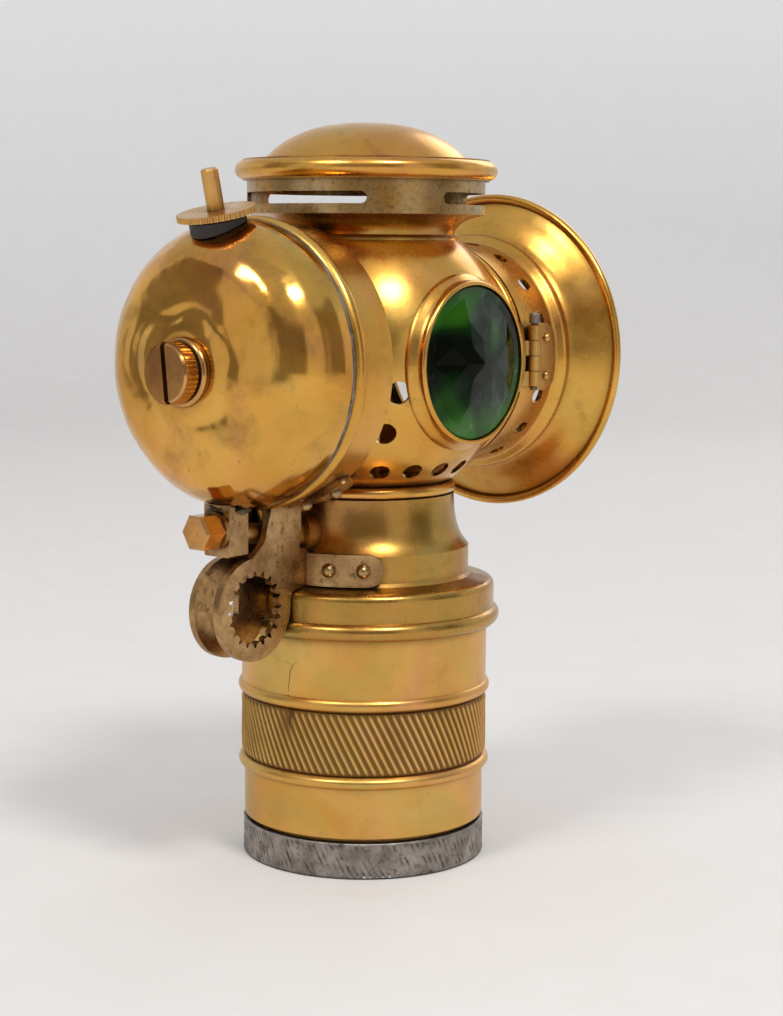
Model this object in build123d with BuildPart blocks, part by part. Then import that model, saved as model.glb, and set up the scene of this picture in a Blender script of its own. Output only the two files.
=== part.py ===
"""Brass carbide lamp for a bicycle: round lamp body, water tank behind, bell door in front, carbide chamber below.

Frame: millimetres, origin at the centre of the base's underside, +Z up.
The bell and its lens face -Y, the water tank stands at +Y, the green side jewel at -X and the red one at +X.
"""
import os
from math import cos, degrees, radians, sin

from build123d import *

os.makedirs("parts", exist_ok=True)

# ---------------------------------------------------------------- driving dimensions
wall = 0.8                  # spun sheet brass
fit = 0.07                  # radial running clearance of threads and spindles
seam = 0.02                 # gap where two soldered or pressed pieces meet on a curve
lamp_z = 108.3              # height of the lamp body's centre and optical axis
ball_r = 32.0               # outside radius of the round lamp body
ball_floor_z = 82.0         # where the ball is cut for the neck
ball_roof_z = 133.4         # where the ball is cut for the chimney
ball_front_y = -23.4
ball_rear_y = 24.8          # also the front face of the water tank
jewel_x = 28.0              # where the ball is cut for each side jewel

base_r = 26.5
base_height = 7.8
chamber_r = 26.8            # outside of the carbide chamber at its smooth upper part
chamber_top_z = 58.4
grip_r = 27.0
cap_bead_r = 29.5           # rolled lower edge of the generator cap
cap_r = 28.3
cap_bore_r = chamber_r + fit
neck_top_z = 79.35

bell_mouth_y = -45.9
bell_rim_r = 35.8
bell_neck_r = 24.8
hinge_x, hinge_y = -26.3, -25.7
hinge_low_z, hinge_high_z = 102.1, 115.4
knuckle_r = 1.47
hinge_pin_r = 0.75

band_r = 28.5               # cylindrical front part of the water tank
bead_y, bead_r = 35.1, 29.9
dome_y = 37.7               # where the domed rear of the tank starts
dome_r = 29.2
filler_z = 107.4
filler_face_y = 60.1
filler_r = 6.2

valve_tilt = 13.5           # degrees that the water valve leans to the rear
valve_y, valve_z = 45.5, 138.5
valve_disc_r = 8.0
spindle_r = 1.75

tube_slope = 6.4            # degrees that the water tube falls towards the neck
tube_r = 2.2
tube_rear_y, tube_rear_z = 40.3, 74.1
block_front_y, block_rear_y = 40.3, 45.8
screw_z = 75.2

eye_y, eye_z = 39.0, 58.5   # bracket eye
eye_outer_r, eye_bore_r, eye_root_r = 10.65, 6.9, 7.9
eye_teeth = 20
bolt_square = 4.3           # square hole in the red side's cheek, for the neck of the bracket bolt
cheek_inner_x, cheek_thick = 2.6, 1.6

optical_axis = Axis((0, 0, lamp_z), (0, 1, 0))
jewel_axis = Axis((0, 0, lamp_z), (1, 0, 0))
profile_z = Plane.XZ                            # local x is the radius, local y is the height
profile_lamp = Plane.XY.offset(lamp_z)          # local x is X, local y is Y, through the optical axis
valve_plane = Plane(
    origin=(0, valve_y, valve_z),
    x_dir=(1, 0, 0),
    z_dir=(0, sin(radians(valve_tilt)), cos(radians(valve_tilt))),
)
tube_plane = Plane(
    origin=(0, tube_rear_y, tube_rear_z),
    x_dir=(1, 0, 0),
    z_dir=(0, -cos(radians(tube_slope)), -sin(radians(tube_slope))),
)


def save(piece, name):
    """Label a finished piece and write it as one STEP file."""
    piece.part.label = name
    export_step(piece.part, f"parts/{name}.step")


def round_solid(points, plane=profile_z, axis=Axis.Z, beads=(), smooth=()):
    """A turned piece: straight outline, half-round beads (r, height, radius) and curved stretches.

    smooth holds the numbers of the outline points between which the outline runs as one smooth curve.
    """
    with BuildPart() as piece:
        with BuildSketch(plane):
            with BuildLine():
                first = 0
                for start, end in smooth:
                    if start > first:
                        Polyline(*points[first:start + 1])
                    Spline(*points[start:end + 1])
                    first = end
                Polyline(*points[first:], points[0])
            make_face()
            for radius, height, bead in beads:
                with Locations((radius, height)):
                    Circle(bead)
        revolve(axis=axis)
    return piece


def tank_envelope(grow=0.0):
    """The outside of the whole water tank as one solid, used to trim what is soldered onto it."""
    return round_solid(
        [
            (0, ball_rear_y),
            (band_r + grow, ball_rear_y),
            (band_r + grow, bead_y + 1.75),
            (dome_r + 0.15 + grow, bead_y + 1.75),
            (dome_r + 0.15 + grow, dome_y),
            (dome_r + grow, dome_y),
            (29.0 + grow, 42.8),
            (26.5 + grow, 48.4),
            (20.9 + grow, 53.4 + grow / 2),
            (12.0 + grow, 54.9 + grow),
            (0, 55.2 + grow),
        ],
        plane=profile_lamp,
        axis=optical_axis,
        beads=[(bead_r - 1.75, bead_y, 1.75 + grow)],
        smooth=[(5, 10)],
    ).part


def neck_outline(offset=0.0):
    """The concave neck of the generator cap, from its foot upwards."""
    return [
        (22.7 - offset, 68.0),
        (21.1 - offset, 70.2),
        (20.0 - offset, 73.2),
        (19.4 - offset, neck_top_z),
    ]


# ---------------------------------------------------------------- base cap and carbide chamber
with BuildPart() as base_cap:
    Cylinder(base_r, base_height, align=(Align.CENTER, Align.CENTER, Align.MIN))
    chamfer(base_cap.edges().filter_by(GeomType.CIRCLE), 0.45)
    with Locations((0, 0, 1.4)):
        Cylinder(25.12, base_height, align=(Align.CENTER, Align.CENTER, Align.MIN), mode=Mode.SUBTRACT)
save(base_cap, "base_cap")

with BuildPart() as base_gasket:
    with BuildSketch(Plane.XY.offset(1.4)):
        Circle(24.8)
        Circle(22.5, mode=Mode.SUBTRACT)
    extrude(amount=1.0)
save(base_gasket, "base_gasket")

carbide_chamber = round_solid(
    [
        (24.1, 2.4),
        (25.05, 2.4),
        (25.05, 8.7),
        (26.2, 8.7),
        (26.2, 20.6),
        (26.0, 20.6),
        (26.0, 37.15),
        (chamber_r, 37.15),
        (chamber_r, chamber_top_z),
        (25.4, chamber_top_z),
        (25.4, 10.4),
        (24.1, 9.3),
    ],
    beads=[(26.5, 20.6, 1.0), (26.3, 20.6, 1.2), (26.0, 20.6, 1.42), (26.1, 37.15, 1.45)],
)
with BuildPart() as chamber_hollow:
    with BuildSketch(Plane.XY.offset(10.4)):
        Circle(25.4)
    extrude(amount=chamber_top_z - 10.4)
carbide_chamber.part = carbide_chamber.part - chamber_hollow.part
save(carbide_chamber, "carbide_chamber")

with BuildPart() as grip_band:
    with BuildSketch(Plane.XY.offset(22.1)):
        Circle(grip_r)
        Circle(26.0 + seam, mode=Mode.SUBTRACT)
    extrude(amount=13.4)
save(grip_band, "grip_band")

with BuildPart() as chamber_gasket:
    with BuildSketch(Plane.XY.offset(chamber_top_z)):
        Circle(26.5)
        Circle(24.6, mode=Mode.SUBTRACT)
    extrude(amount=1.2)
save(chamber_gasket, "chamber_gasket")

# ---------------------------------------------------------------- generator cap and what hangs inside it
generator_cap = round_solid(
    [
        (cap_bore_r, 50.95),
        (cap_r, 50.95),
        (cap_r, 59.3),
        (27.9, 60.3),
        (26.9, 60.85),
        (23.3, 61.6),
        (22.7, 62.3),
        *neck_outline(),
        *reversed(neck_outline(offset=0.9)),
        (21.8, 61.4),
        (22.4, 60.6),
        (24.0, chamber_top_z + 1.2),
        (cap_bore_r, chamber_top_z + 1.2),
    ],
    beads=[(cap_bead_r - 1.95, 52.9, 1.95)],
    smooth=[(2, 4), (7, 10), (11, 14)],
)
with BuildPart() as cap_bore:
    with BuildSketch(Plane.XY.offset(50.0)):
        Circle(cap_bore_r)
    extrude(amount=chamber_top_z + 1.2 - 50.0)
with BuildPart() as tube_hole:
    with BuildSketch(tube_plane.offset(10.0)):
        Circle(tube_r + seam)
    extrude(amount=14.0)
generator_cap.part = generator_cap.part - cap_bore.part - tube_hole.part
save(generator_cap, "generator_cap")

with BuildPart() as gas_plate:
    with BuildSketch(Plane.XY.offset(62.5)):
        Circle(21.8 - seam)
        Circle(2.5 + seam, mode=Mode.SUBTRACT)
        with PolarLocations(12.0, 6):
            Circle(2.2, mode=Mode.SUBTRACT)
    extrude(amount=wall)
save(gas_plate, "gas_plate")

with BuildPart() as drip_tube:
    with BuildSketch(Plane.XY.offset(40.0)):
        Circle(2.5)
    extrude(amount=34.0)
    with BuildSketch(tube_plane.offset(21.2)):
        Circle(2.0)
    extrude(amount=20.0)
    with BuildSketch(Plane.XY.offset(40.0)):
        Circle(1.5)
    extrude(amount=32.0, mode=Mode.SUBTRACT)
    with BuildSketch(tube_plane.offset(21.2)):
        Circle(1.2)
    extrude(amount=19.6, mode=Mode.SUBTRACT)
save(drip_tube, "drip_tube")

neck_ring = round_solid(
    [(17.0, neck_top_z), (18.4, neck_top_z), (18.4, ball_floor_z), (17.0, ball_floor_z)],
    beads=[(18.36, (neck_top_z + ball_floor_z) / 2, (ball_floor_z - neck_top_z) / 2)],
)
save(neck_ring, "neck_ring")

# ---------------------------------------------------------------- lamp body
with BuildPart() as body_shell:
    with Locations((0, 0, lamp_z)):
        Sphere(ball_r)
        Sphere(ball_r - wall, mode=Mode.SUBTRACT)
    for x_side in (-1, 1):
        with Locations((x_side * (jewel_x + 10), 0, lamp_z)):
            Box(20, 60, 60, mode=Mode.SUBTRACT)
    with Locations((0, ball_front_y - 10, lamp_z), (0, ball_rear_y + 10, lamp_z)):
        Box(70, 20, 70, mode=Mode.SUBTRACT)
    with Locations((0, 0, ball_floor_z - 10), (0, 0, ball_roof_z + 10)):
        Box(70, 70, 20, mode=Mode.SUBTRACT)
    # air holes round the bottom, on a cone through the ball's centre
    for number in range(20):
        angle = radians(12.5 + 18 * number)
        outward = (cos(angle), sin(angle), -1.0)
        with BuildSketch(Plane(origin=(0, 0, lamp_z), z_dir=outward)):
            Circle(2.15)
        extrude(amount=ball_r + 2, mode=Mode.SUBTRACT)
    # two air holes each side, close to the tank
    for side in (-1, 1):
        for drop in (12.4, 33.1):
            outward = (side * 25.8 * cos(radians(drop)), 19.0, -25.8 * sin(radians(drop)))
            with BuildSketch(Plane(origin=(0, 0, lamp_z), z_dir=outward)):
                Circle(2.4)
            extrude(amount=ball_r + 2, mode=Mode.SUBTRACT)
save(body_shell, "body_shell")

ball_solid = Pos(0, 0, lamp_z) * Sphere(ball_r + seam)
cut_ball = ball_solid & Pos(0, 0, lamp_z) * Box(2 * jewel_x + 2 * seam, 80, 80)

for name in ("green", "red"):
    bezel = round_solid(
        [
            (-25.6, 18.3),
            (-27.4, 17.9),
            (-28.4, 17.2),
            (-29.3, 17.0),
            (-30.0, 16.75),
            (-30.15, 16.4),
            (-30.0, 16.1),
            (-28.25, 16.1),
            (-28.25, 14.4),
            (-25.6, 14.4),
        ],
        plane=profile_lamp,
        axis=jewel_axis,
        smooth=[(0, 3), (3, 6)],
    )
    bezel.part = bezel.part - cut_ball
    jewel = round_solid(
        [
            (-28.25, 0),
            (-28.25, 16.0),
            (-29.3, 16.0),
            (-29.6, 15.6),
            (-30.0, 13.8),
            (-31.2, 11.0),
            (-32.2, 6.0),
            (-32.6, 0),
        ],
        plane=profile_lamp,
        axis=jewel_axis,
    )
    if name == "red":
        bezel.part = mirror(bezel.part, about=Plane.YZ)
        jewel.part = mirror(jewel.part, about=Plane.YZ)
    save(bezel, f"{name}_bezel")
    save(jewel, f"{name}_jewel")

front_ring = round_solid(
    [(21.4, -24.15), (24.3, -24.15), (24.9, -23.6), (24.9, -22.9), (24.3, -22.2), (24.3, -19.5), (21.4, -19.5)],
    plane=profile_lamp,
    axis=optical_axis,
    smooth=[(1, 4)],
)
front_ring.part = front_ring.part - ball_solid
save(front_ring, "front_ring")

reflector = round_solid(
    [
        (0, 22.6),
        (5.0, 21.9),
        (10.0, 19.3),
        (15.5, 13.6),
        (15.5, 14.6),
        (10.0, 20.2),
        (5.0, 22.7),
        (0, 23.4),
    ],
    plane=profile_lamp,
    axis=optical_axis,
    smooth=[(0, 3), (4, 7)],
)
with BuildPart() as reflector_boss:
    with BuildSketch(Plane.XZ.offset(-23.0)):
        with Locations((0, lamp_z)):
            Circle(3.0)
    extrude(amount=-(ball_rear_y - 23.0))
reflector.part = reflector.part + reflector_boss.part
save(reflector, "reflector")

with BuildPart() as burner_plate:
    with BuildSketch(Plane.XY.offset(80.4)):
        Circle(17.0 - seam)
        Circle(3.2 + seam, mode=Mode.SUBTRACT)
        with PolarLocations(11.0, 8):
            Circle(2.0, mode=Mode.SUBTRACT)
    extrude(amount=wall)
save(burner_plate, "burner_plate")

with BuildPart() as burner_stem:
    with BuildSketch(Plane.XY.offset(76.0)):
        Circle(3.2)
        Circle(1.6, mode=Mode.SUBTRACT)
    extrude(amount=20.0)
save(burner_stem, "burner_stem")

with BuildPart() as burner_tip:
    with BuildSketch(Plane.XY.offset(96.0)):
        Circle(3.0)
    extrude(amount=3.2)
    for side in (-1, 1):
        lean = Plane(origin=(side * 1.6, 0, 98.2), z_dir=(side * 0.62, 0, 1))
        with BuildSketch(lean):
            Circle(1.3)
        extrude(amount=7.6)
        elbow = Plane(origin=(side * 5.2, 0, 104.0), z_dir=(-side * 0.75, 0, 1))
        with BuildSketch(elbow):
            Circle(1.3)
        extrude(amount=3.0)
save(burner_tip, "burner_tip")

# ---------------------------------------------------------------- chimney
chimney_neck = round_solid(
    [
        (18.4, ball_roof_z),
        (19.7, ball_roof_z),
        (19.7, 133.9),
        (18.9, 134.6),
        (19.3, 135.8),
        (21.0, 137.4),
        (24.2, 138.5),
        (25.4, 138.8),
        (25.4, 139.4),
        (23.9, 139.3),
        (20.6, 138.2),
        (18.5, 136.4),
        (18.1, 134.8),
    ],
    smooth=[(3, 6), (9, 12)],
)
save(chimney_neck, "chimney_neck")

slot_z, slot_height = 142.05, 2.5       # the three long slots that let the hot air out
slot_span = 76.0                        # degrees between the centres of a slot's round ends


def slot_sector(start, end):
    """Plane sketch of the slice that one slot takes out of the band."""
    with BuildSketch() as slice_of_band:
        with BuildLine():
            CenterArc((0, 0), 28.0, start, end - start)
            Line((0, 0), (28.0 * cos(radians(start)), 28.0 * sin(radians(start))))
            Line((0, 0), (28.0 * cos(radians(end)), 28.0 * sin(radians(end))))
        make_face()
    return slice_of_band.sketch


with BuildPart() as chimney_band:
    with BuildSketch(Plane.XY.offset(139.4)):
        Circle(25.5)
        Circle(25.5 - wall, mode=Mode.SUBTRACT)
    extrude(amount=145.9 - 139.4)
    with BuildSketch(Plane.XY.offset(138.8)):
        Circle(25.5)
        Circle(25.4 + seam, mode=Mode.SUBTRACT)
    extrude(amount=0.6)
    for middle in (90, 210, 330):
        for end in (middle - slot_span / 2, middle + slot_span / 2):
            outward = (cos(radians(end)), sin(radians(end)), 0)
            with BuildSketch(Plane(origin=(0, 0, slot_z), z_dir=outward)):
                Circle(slot_height / 2)
            extrude(amount=30.0, mode=Mode.SUBTRACT)
        with BuildSketch(Plane.XY.offset(slot_z - slot_height / 2)):
            add(slot_sector(middle - slot_span / 2, middle + slot_span / 2))
        extrude(amount=slot_height, mode=Mode.SUBTRACT)
save(chimney_band, "chimney_band")

chimney_lid = round_solid(
    [
        (24.3, 145.9),
        (26.4, 145.9),
        (26.4, 150.3),
        (22.6, 150.35),
        (21.6, 150.6),
        (19.5, 152.6),
        (14.5, 155.7),
        (8.0, 157.6),
        (0, 158.2),
        (0, 157.3),
        (7.8, 156.7),
        (14.0, 154.9),
        (18.9, 151.9),
        (21.0, 149.9),
        (24.0, 148.6),
    ],
    beads=[(26.05, 148.1, 2.0)],
    smooth=[(4, 8), (9, 13)],
)
save(chimney_lid, "chimney_lid")

# ---------------------------------------------------------------- water tank
feed_plane = valve_plane.offset(-54.5)          # mouth of the valve seat, inside the tank
with BuildPart() as feed_hole:
    with BuildSketch(feed_plane):
        Circle(2.2 + seam)
    extrude(amount=-9.0)
tube_trim = Pos(0, 0, 0) * extrude(tube_plane * Circle(tube_r + seam), amount=22.0)

with BuildPart() as feed_pipe:
    with BuildSketch(feed_plane):
        Circle(2.2)
    extrude(amount=-11.8)
    with BuildSketch(feed_plane):
        Circle(1.25)
    extrude(amount=-12.0, mode=Mode.SUBTRACT)
feed_pipe.part = feed_pipe.part - tube_trim
save(feed_pipe, "feed_pipe")

tank_band = round_solid(
    [
        (band_r - wall, ball_rear_y),
        (band_r, ball_rear_y),
        (band_r, bead_y - 1.75),
        (bead_r - 1.5, bead_y - 1.75),
        (bead_r - 1.5, bead_y + 1.75),
        (band_r - wall, bead_y + 1.75),
    ],
    plane=profile_lamp,
    axis=optical_axis,
    beads=[(bead_r - 1.75, bead_y, 1.75)],
)
with BuildPart() as band_bore:
    with BuildSketch(Plane.XZ.offset(-ball_rear_y + 1)):
        with Locations((0, lamp_z)):
            Circle(band_r - wall)
    extrude(amount=-16)
tank_band.part = tank_band.part - band_bore.part - feed_hole.part
save(tank_band, "tank_band")

tank_seam = round_solid(
    [
        (27.7, bead_y + 1.75),
        (29.2, bead_y + 1.75),
        (29.35, bead_y + 2.2),
        (29.2, dome_y),
        (27.7, dome_y),
    ],
    plane=profile_lamp,
    axis=optical_axis,
)
save(tank_seam, "tank_seam")

with BuildPart() as tank_front_wall:
    with BuildSketch(Plane.XZ.offset(-ball_rear_y)):
        with Locations((0, lamp_z)):
            Circle(band_r - wall - seam)
    extrude(amount=-wall)
save(tank_front_wall, "tank_front_wall")

tank_dome = round_solid(
    [
        (dome_r - 1.2, dome_y),
        (dome_r, dome_y),
        (29.0, 42.8),
        (26.5, 48.4),
        (20.9, 53.4),
        (12.0, 54.9),
        (0, 55.2),
        (0, 54.3),
        (11.8, 54.0),
        (20.3, 52.6),
        (25.7, 47.9),
        (28.1, 42.8),
    ],
    plane=profile_lamp,
    axis=optical_axis,
    smooth=[(1, 6), (7, 11)],
)
with BuildPart() as filler_hole:
    with BuildSketch(Plane.XZ.offset(-50.0)):
        with Locations((0, filler_z)):
            Circle(4.6 + seam)
    extrude(amount=-8)
with BuildPart() as valve_hole:
    with BuildSketch(valve_plane.offset(-12)):
        Circle(4.9 + seam)
    extrude(amount=12)
tank_dome.part = tank_dome.part - filler_hole.part - valve_hole.part
save(tank_dome, "tank_dome")

# ---------------------------------------------------------------- filler plug at the rear
with BuildPart() as filler_boss:
    with BuildSketch(Plane.XZ.offset(-51.5)):
        with Locations((0, filler_z)):
            Circle(6.9)
    extrude(amount=-4.6)
    fillet(filler_boss.edges().group_by(Axis.Y)[-1], 0.9)
    with BuildSketch(Plane.XZ.offset(-49.9)):
        with Locations((0, filler_z)):
            Circle(6.9)
    extrude(amount=-1.6)
filler_spigot = Pos(0, 52.0, filler_z) * Cylinder(4.6, 8.0, rotation=(90, 0, 0))
boss_trim = tank_envelope(grow=seam) - filler_spigot
filler_boss.part = filler_boss.part - boss_trim
filler_boss.part = filler_boss.part - Pos(0, 52.0, filler_z) * Cylinder(3.5 + fit, 12.0, rotation=(90, 0, 0))
save(filler_boss, "filler_boss")

with BuildPart() as filler_washer:
    with BuildSketch(Plane.XZ.offset(-56.1)):
        with Locations((0, filler_z)):
            Circle(5.6)
            Circle(3.9, mode=Mode.SUBTRACT)
    extrude(amount=-0.8)
save(filler_washer, "filler_washer")

with BuildPart() as filler_cap:
    with BuildSketch(Plane.XZ.offset(-56.9)):
        with Locations((0, filler_z)):
            Circle(filler_r)
            with PolarLocations(filler_r + 0.12, 40):
                Circle(0.28, mode=Mode.SUBTRACT)
    extrude(amount=-(filler_face_y - 56.9 - 0.5))
    with BuildSketch(Plane.XZ.offset(-(filler_face_y - 0.5))):
        with Locations((0, filler_z)):
            Circle(filler_r - 0.35)
    extrude(amount=-0.5, taper=35)
    with BuildSketch(Plane.XZ.offset(-56.9)):
        with Locations((0, filler_z)):
            Circle(3.5)
    extrude(amount=6.6)
    with Locations((0, filler_face_y, filler_z)):
        Box(1.2, 2.2, 20.0, rotation=(0, 6, 0), mode=Mode.SUBTRACT)
save(filler_cap, "filler_cap")

# ---------------------------------------------------------------- water valve on top of the tank
with BuildPart() as valve_bung:
    with BuildSketch(valve_plane.offset(-8.0)):
        Circle(5.8)
    extrude(amount=6.8)
bung_plug = extrude(valve_plane.offset(-8.0) * Circle(4.9), amount=6.8)
valve_bung.part = valve_bung.part - (tank_envelope(grow=seam) - bung_plug)
valve_bung.part = valve_bung.part - extrude(valve_plane.offset(-9.0) * Circle(spindle_r + fit), amount=12.0)
save(valve_bung, "valve_bung")

with BuildPart() as valve_washer:
    with BuildSketch(valve_plane.offset(-1.2)):
        Circle(4.2)
        Circle(spindle_r + 0.35, mode=Mode.SUBTRACT)
    extrude(amount=0.6)
save(valve_washer, "valve_washer")

with BuildPart() as valve_disc:
    with BuildSketch(valve_plane.offset(-0.6)):
        Circle(valve_disc_r)
        with PolarLocations(valve_disc_r + 0.15, 44):
            Circle(0.42, mode=Mode.SUBTRACT)
        Circle(spindle_r + seam, mode=Mode.SUBTRACT)
    extrude(amount=1.25)
save(valve_disc, "valve_disc")

with BuildPart() as valve_spindle:
    with BuildSketch(valve_plane.offset(-51.0)):
        Circle(spindle_r)
    extrude(amount=51.0 + 8.9)
    chamfer(valve_spindle.edges().group_by(Axis.Z)[-1], 0.3)
    with BuildSketch(valve_plane.offset(-51.0)):
        Circle(spindle_r)
    extrude(amount=-3.4, taper=20)
save(valve_spindle, "valve_spindle")

# ---------------------------------------------------------------- water tube and its clean-out screw
with BuildPart() as water_tube:
    with BuildSketch(tube_plane):
        Circle(tube_r)
        Circle(1.4, mode=Mode.SUBTRACT)
    extrude(amount=20.9)
    with BuildSketch(tube_plane):
        Circle(tube_r)
        Circle(1.4, mode=Mode.SUBTRACT)
    extrude(amount=-0.5)
with BuildPart() as feed_mouth:
    with BuildSketch(feed_plane.offset(-5.0)):
        Circle(1.2)
    extrude(amount=-6.0)
water_tube.part = water_tube.part - feed_mouth.part - Pos(0, tube_rear_y + 5, tube_rear_z) * Box(10, 10, 10)
save(water_tube, "water_tube")

neck_solid = round_solid([(0, 62.3), (22.7 + seam, 62.3), *neck_outline(offset=-seam), (0, neck_top_z)],
                         smooth=[(2, 5)]).part
with BuildPart() as tube_collar:
    with BuildSketch(tube_plane.offset(17.2)):
        Circle(4.9)
        Circle(tube_r + seam, mode=Mode.SUBTRACT)
    extrude(amount=5.0)
    with BuildSketch(tube_plane.offset(15.6)):
        Circle(3.7)
        Circle(tube_r + seam, mode=Mode.SUBTRACT)
    extrude(amount=1.6)
tube_collar.part = tube_collar.part - neck_solid
save(tube_collar, "tube_collar")

with BuildPart() as clean_out_block:
    with Locations((0, (block_front_y + block_rear_y) / 2, 76.0)):
        Box(7.0, block_rear_y - block_front_y, 12.4)
    chamfer(clean_out_block.edges().filter_by(Axis.Y), 0.3)
    with Locations((0, 44.0, screw_z)):
        Cylinder(2.0 + fit, 12.0, rotation=(90, 0, 0), mode=Mode.SUBTRACT)
clean_out_block.part = clean_out_block.part - tank_envelope(grow=seam)
save(clean_out_block, "clean_out_block")

with BuildPart() as clean_out_washer:
    with BuildSketch(Plane.XZ.offset(-block_rear_y)):
        with Locations((0, screw_z)):
            Circle(3.9)
            Circle(2.35, mode=Mode.SUBTRACT)
    extrude(amount=-1.1)
save(clean_out_washer, "clean_out_washer")

with BuildPart() as clean_out_screw:
    with BuildSketch(Plane.XZ.offset(-(block_rear_y + 1.1))):
        with Locations((0, screw_z)):
            RegularPolygon(3.4, 6, major_radius=False)
    extrude(amount=-5.2)
    chamfer(clean_out_screw.edges().group_by(Axis.Y)[-1], 0.5)
    with BuildSketch(Plane.XZ.offset(-(block_rear_y + 1.1))):
        with Locations((0, screw_z)):
            Circle(2.0)
    extrude(amount=5.4)
save(clean_out_screw, "clean_out_screw")

# ---------------------------------------------------------------- bracket: two stamped cheeks, one with a serrated eye
neck_tab_r = 22.7 + 2 * seam
strap_r = band_r + 2 * seam


def ring_sector(inner, outer, start, end):
    """Plane sketch of a curved strip between two radii and two angles in degrees."""
    with BuildSketch() as strip:
        Circle(outer)
        Circle(inner, mode=Mode.SUBTRACT)
        reach = outer * 2
        middle = radians((start + end) / 2)
        with BuildLine():
            Polyline(
                (0, 0),
                (reach * cos(radians(start)), reach * sin(radians(start))),
                (reach * 1.2 * cos(middle), reach * 1.2 * sin(middle)),
                (reach * cos(radians(end)), reach * sin(radians(end))),
                (0, 0),
            )
        make_face(mode=Mode.INTERSECT)
    return strip.sketch


def cheek(side):
    """One stamped cheek: eye or bolt hole, arm up to the tank, riveted tabs round the neck and under the tank."""
    inner_face = Plane.YZ.offset(cheek_inner_x if side > 0 else -cheek_inner_x - cheek_thick)
    with BuildPart() as plate:
        with BuildSketch(inner_face):
            with Locations((eye_y, eye_z)):
                Circle(eye_outer_r)
            with BuildLine():
                Polyline(
                    (25.2, 81.0),
                    (33.4, 81.0),
                    (34.9, 76.5),
                    (36.2, 72.0),
                    (40.0, 68.9),
                    (44.0, 66.0),
                    (40.0, 58.0),
                    (29.6, 56.0),
                    (28.9, 61.3),
                    (22.0, 61.3),
                    (22.0, 68.6),
                    (24.3, 69.4),
                    (25.2, 73.0),
                    (25.2, 81.0),
                )
            make_face()
            offset(amount=2.2)
            offset(amount=-2.2)
            if side > 0:
                with Locations((eye_y, eye_z)):
                    Rectangle(bolt_square, bolt_square, mode=Mode.SUBTRACT)
            else:
                with Locations((eye_y, eye_z)):
                    Circle(eye_bore_r, mode=Mode.SUBTRACT)
                    with PolarLocations(0, eye_teeth):
                        Polygon(
                            (eye_bore_r - 0.3, -0.66),
                            (eye_root_r, -0.2),
                            (eye_root_r, 0.2),
                            (eye_bore_r - 0.3, 0.66),
                            align=None,
                            mode=Mode.SUBTRACT,
                        )
        extrude(amount=cheek_thick)
    with BuildPart() as neck_tab:
        start, end = (98.0, 140.0) if side < 0 else (40.0, 82.0)
        with BuildSketch(Plane.XY.offset(61.8)):
            add(ring_sector(neck_tab_r, neck_tab_r + 1.4, start, end))
        extrude(amount=6.8)
        tip = end if side < 0 else start
        ends = neck_tab.edges().sort_by_distance(
            (23.5 * cos(radians(tip)), 23.5 * sin(radians(tip)), 65.2))
        corners = [edge for edge in ends if abs(edge.length - 1.4) < 0.1][:2]
        fillet(corners, 3.2)
    with BuildPart() as strap_tab:
        start, end = (-128.5, -96.0) if side < 0 else (-84.0, -51.5)
        with BuildSketch(Plane.XZ.offset(-24.0)):
            with Locations((0, lamp_z)):
                add(ring_sector(strap_r, strap_r + 1.4, start, end))
        extrude(amount=-5.0)
        tip = start if side < 0 else end
        ends = strap_tab.edges().sort_by_distance(
            (29.2 * cos(radians(tip)), 26.5, lamp_z + 29.2 * sin(radians(tip))))
        corners = [edge for edge in ends if abs(edge.length - 1.4) < 0.1][:2]
        fillet(corners, 2.3)
    whole = plate.part - tank_envelope(grow=2 * seam) - neck_keep_out
    plate.part = whole + (neck_tab.part - neck_keep_out) + strap_tab.part - collar_room
    return plate


collar_room = extrude(tube_plane.offset(15.0) * Circle(5.0), amount=8.0)
neck_keep_out = round_solid(
    [(0, 45.0), (29.7, 45.0), (29.7, 54.4), (28.34, 55.0), (28.34, 60.9), (26.9, 60.95), (23.35, 61.7),
     (neck_tab_r, 62.4), (neck_tab_r, 69.0), (0, 69.0)]).part
for side, name in ((-1, "left"), (1, "right")):
    bracket_cheek = cheek(side)
    save(bracket_cheek, f"bracket_cheek_{name}")

with BuildPart() as bracket_rivets:
    for side in (-1, 1):
        for angle in (22.6, 39.9):
            outward = (side * sin(radians(angle)), cos(radians(angle)), 0)
            foot = neck_tab_r + 1.4
            with Locations(Location(Plane(
                    origin=(outward[0] * foot, outward[1] * foot, 65.2), z_dir=outward))):
                Sphere(1.5, arc_size1=0, align=(Align.CENTER, Align.CENTER, Align.MIN))
        for angle in (13.0, 30.0):
            outward = (side * sin(radians(angle)), 0, -cos(radians(angle)))
            foot = strap_r + 1.4
            with Locations(Location(Plane(
                    origin=(outward[0] * foot, 26.5, lamp_z + outward[2] * foot), z_dir=outward))):
                Sphere(1.3, arc_size1=0, align=(Align.CENTER, Align.CENTER, Align.MIN))
save(bracket_rivets, "bracket_rivets")

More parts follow.
